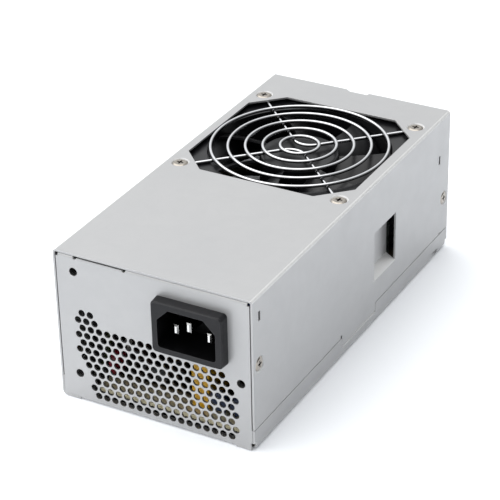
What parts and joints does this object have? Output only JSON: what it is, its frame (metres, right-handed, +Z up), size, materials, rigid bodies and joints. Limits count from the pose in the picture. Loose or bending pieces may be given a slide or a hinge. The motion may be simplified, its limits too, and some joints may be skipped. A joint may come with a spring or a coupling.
{
  "type": "power supply unit",
  "caption": "Slim desktop-computer power supply: folded steel case, top fan under a wire guard, rear-panel mains inlet and vent field, circuit board inside.",
  "frame": {"origin": "centre of the base face, which is the case's flat underside", "axes": "+Z up out of the top cover along the fan axis; -Y out of the panel with the mains inlet; +X to the right when that panel is seen from outside; the case's length lies along Y"},
  "size_m": [0.085, 0.1815, 0.0654],
  "materials": {
    "case_steel": "satin galvanised sheet steel",
    "screw_nickel": "nickel-plated",
    "guard_chrome": "bright chrome wire",
    "fan_plastic": "black moulded plastic",
    "inlet_plastic": "dark grey moulded plastic",
    "contact_metal": "nickel-plated brass blades",
    "shaft_steel": "ground steel",
    "magnet": "bonded ferrite",
    "bearing_bronze": "sintered bronze",
    "stator_steel": "stacked laminations",
    "copper": "enamelled copper wire",
    "board_brown": "paper-phenolic laminate",
    "board_green": "glass-epoxy laminate",
    "board_screw": "zinc-plated",
    "standoff_brass": "turned brass",
    "film_black": "black insulating film",
    "wire_brown": "brown insulation",
    "wire_blue": "blue insulation",
    "wire_earth": "green and yellow insulation",
    "terminal_tin": "tinned copper",
    "yellow_box": "yellow moulded capacitor case",
    "blue_dip": "blue dipped ceramic",
    "red_dip": "dark red dipped ceramic",
    "green_dip": "dark green dipped ceramic",
    "fuse_glass": "ceramic tube with end caps",
    "choke_core": "coated ferrite",
    "epoxy_black": "moulded epoxy",
    "choke_yellow": "coated iron powder",
    "can_sleeve": "dark heat-shrink sleeve on aluminium can",
    "heatsink": "extruded aluminium",
    "ferrite": "ferrite",
    "tape_yellow": "polyester tape",
    "connector_white": "nylon",
    "wire_black": "black sleeved lead",
    "grommet_rubber": "black rubber"
  },
  "bodies": {
    "housing": {"board_screws": "board_screw", "board_standoffs": "standoff_brass", "bridge_rectifier": "epoxy_black", "bulk_capacitor": "can_sleeve", "cable_grommet": "grommet_rubber", "control_board": "board_green", "control_chips": "epoxy_black", "cover": "case_steel", "cover_screws": "screw_nickel", "device_screws": "board_screw", "earth_ring_terminal": "terminal_tin", "earth_screw": "board_screw", "earth_wire": "wire_earth", "fan_bearing": "bearing_bronze", "fan_circuit_board": "board_green", "fan_coils": "copper", "fan_duct": "fan_plastic", "fan_frame": "fan_plastic", "fan_guard": "guard_chrome", "fan_header": "connector_white", "fan_lead": "wire_black", "fan_lead_plug": "connector_white", "fan_screws": "screw_nickel", "fan_stator": "stator_steel", "fan_top_flange": "fan_plastic", "inlet_earth_blade": "contact_metal", "inlet_housing": "inlet_plastic", "inlet_live_blade": "contact_metal", "inlet_neutral_blade": "contact_metal", "inrush_thermistor": "green_dip", "insulating_sheet": "film_black", "line_choke_core": "choke_core", "line_choke_windings": "copper", "live_wire": "wire_brown", "main_board": "board_brown", "mains_fuse": "fuse_glass", "neutral_wire": "wire_blue", "optocouplers": "connector_white", "output_capacitors": "can_sleeve", "output_choke_core": "choke_yellow", "output_choke_winding": "copper", "output_rectifiers": "epoxy_black", "pfc_choke_core": "choke_core", "pfc_choke_winding": "copper", "primary_heatsink": "heatsink", "primary_transistors": "epoxy_black", "secondary_heatsink": "heatsink", "standby_transformer_bobbin": "tape_yellow", "standby_transformer_core": "ferrite", "transformer_bobbin": "tape_yellow", "transformer_core": "ferrite", "tray": "case_steel", "varistor": "red_dip", "x_capacitor": "yellow_box", "y_capacitors": "blue_dip"},
    "fan_rotor": {"fan_impeller": "fan_plastic", "fan_shaft": "shaft_steel", "fan_magnet_ring": "magnet"}
  },
  "joints": [
    {"name": "fan_spin", "type": "hinge", "parent": "housing", "child": "fan_rotor", "pos_m": [0, 0.031, 0.054], "axis": [0, 0, 1], "continuous": true}
  ]
}
